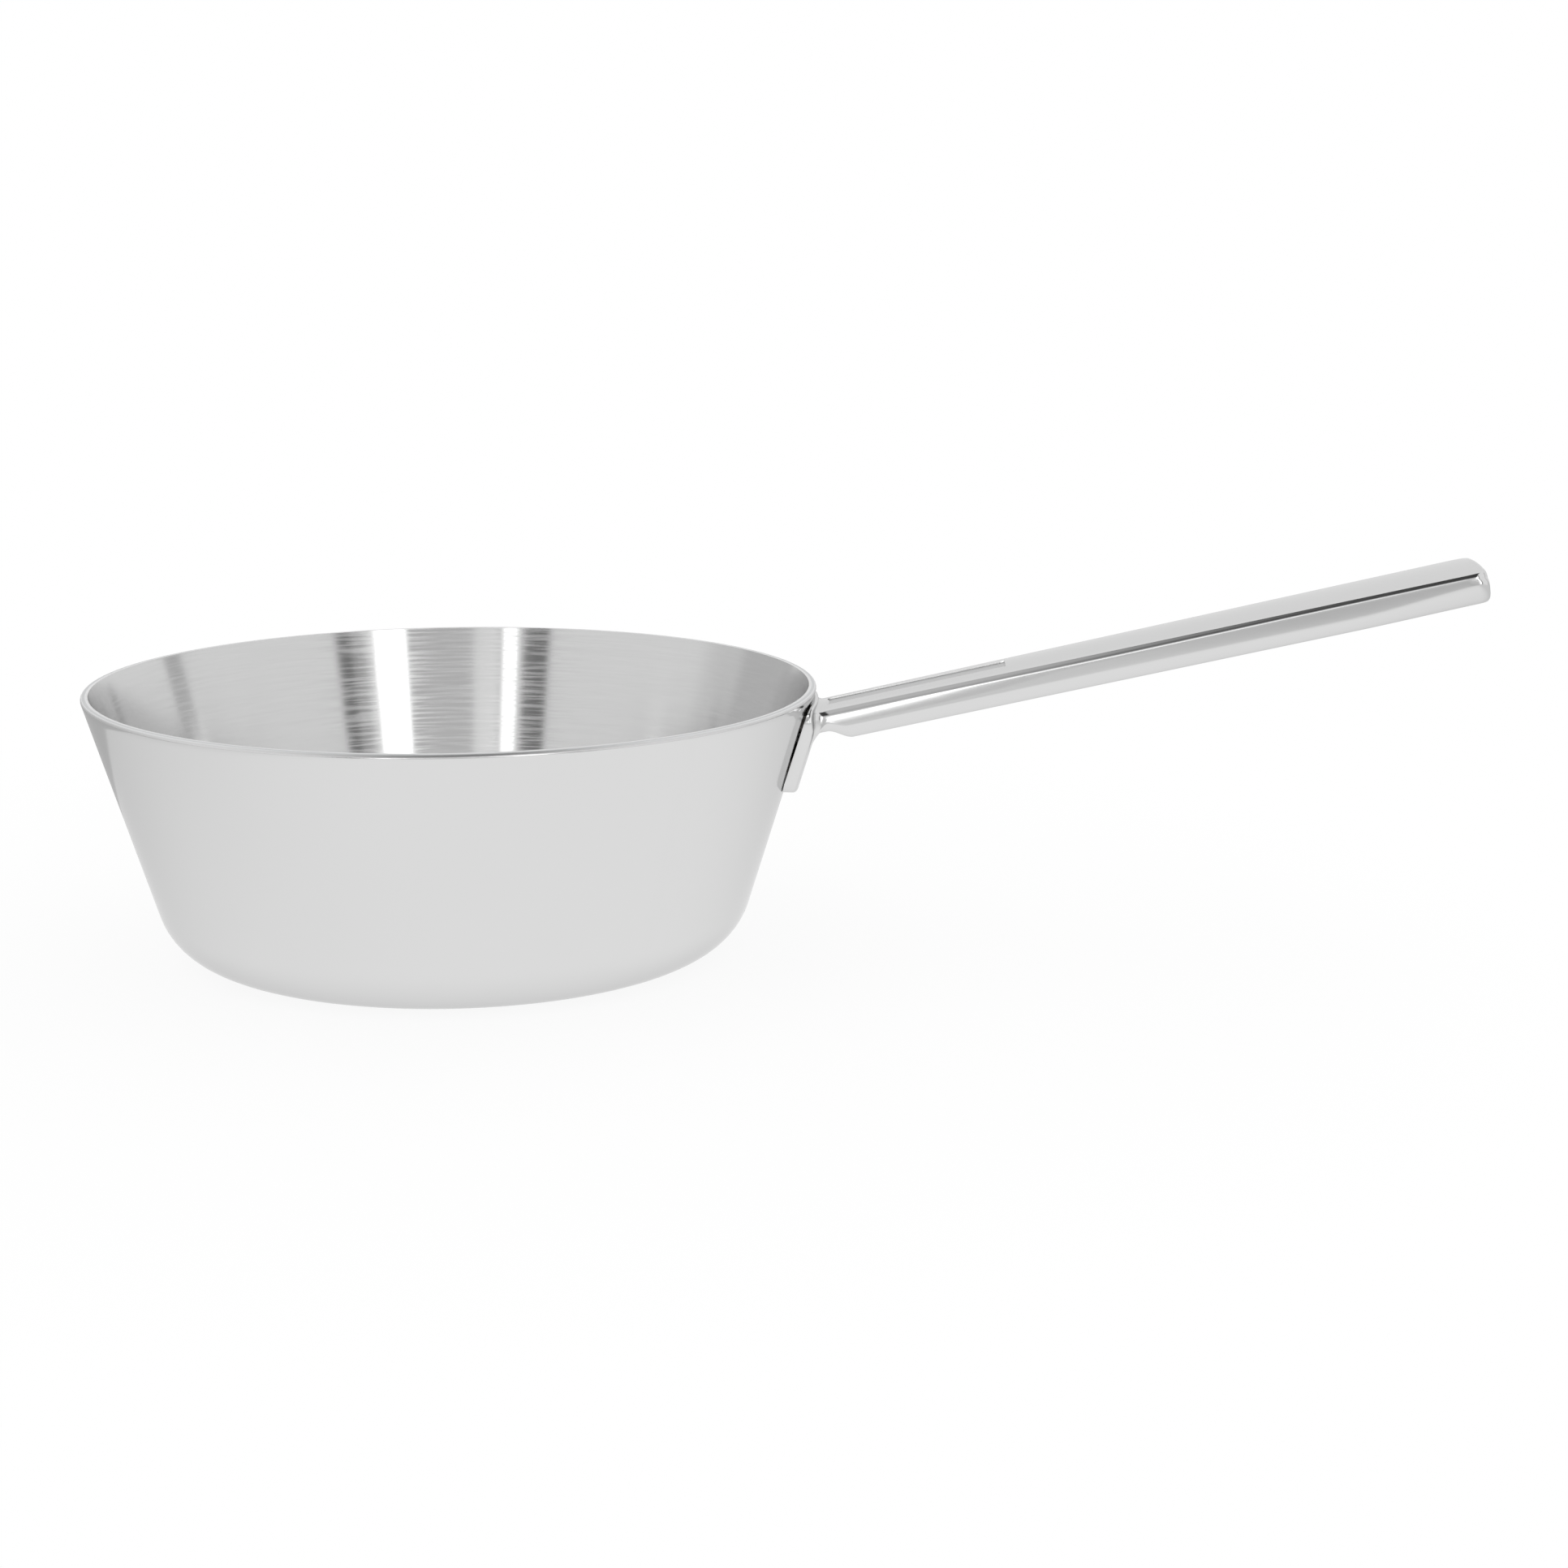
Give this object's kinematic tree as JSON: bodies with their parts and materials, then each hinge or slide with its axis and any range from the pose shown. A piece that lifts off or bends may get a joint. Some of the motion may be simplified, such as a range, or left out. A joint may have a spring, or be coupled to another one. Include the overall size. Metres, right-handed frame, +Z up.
{
  "type": "saucier pan",
  "caption": "Conical saucier pan in five-ply clad stainless steel, with one long cast steel handle whose wall plate is spot-welded to the bowl.",
  "frame": {"origin": "centre of the base's underside, on the surface the pan stands on", "axes": "+X runs out from the bowl along the handle, +Z is up, +Y makes it right-handed"},
  "size_m": [0.4549, 0.2392, 0.1304],
  "materials": {
    "lining_steel": "fine brushing round the bowl",
    "soft_aluminium": "matt, hidden but for its edge on the rim",
    "core_aluminium": "matt, hidden but for its edge on the rim",
    "satin_steel": "fine satin",
    "cast_steel": "polished, faint satin",
    "weld_steel": "as welded"
  },
  "bodies": {
    "root": {"steel_lining": "lining_steel", "inner_bond_ply": "soft_aluminium", "alloy_core": "core_aluminium", "outer_bond_ply": "soft_aluminium", "outer_steel_shell": "satin_steel", "handle": "cast_steel", "weld_nuggets": "weld_steel"}
  },
  "joints": []
}
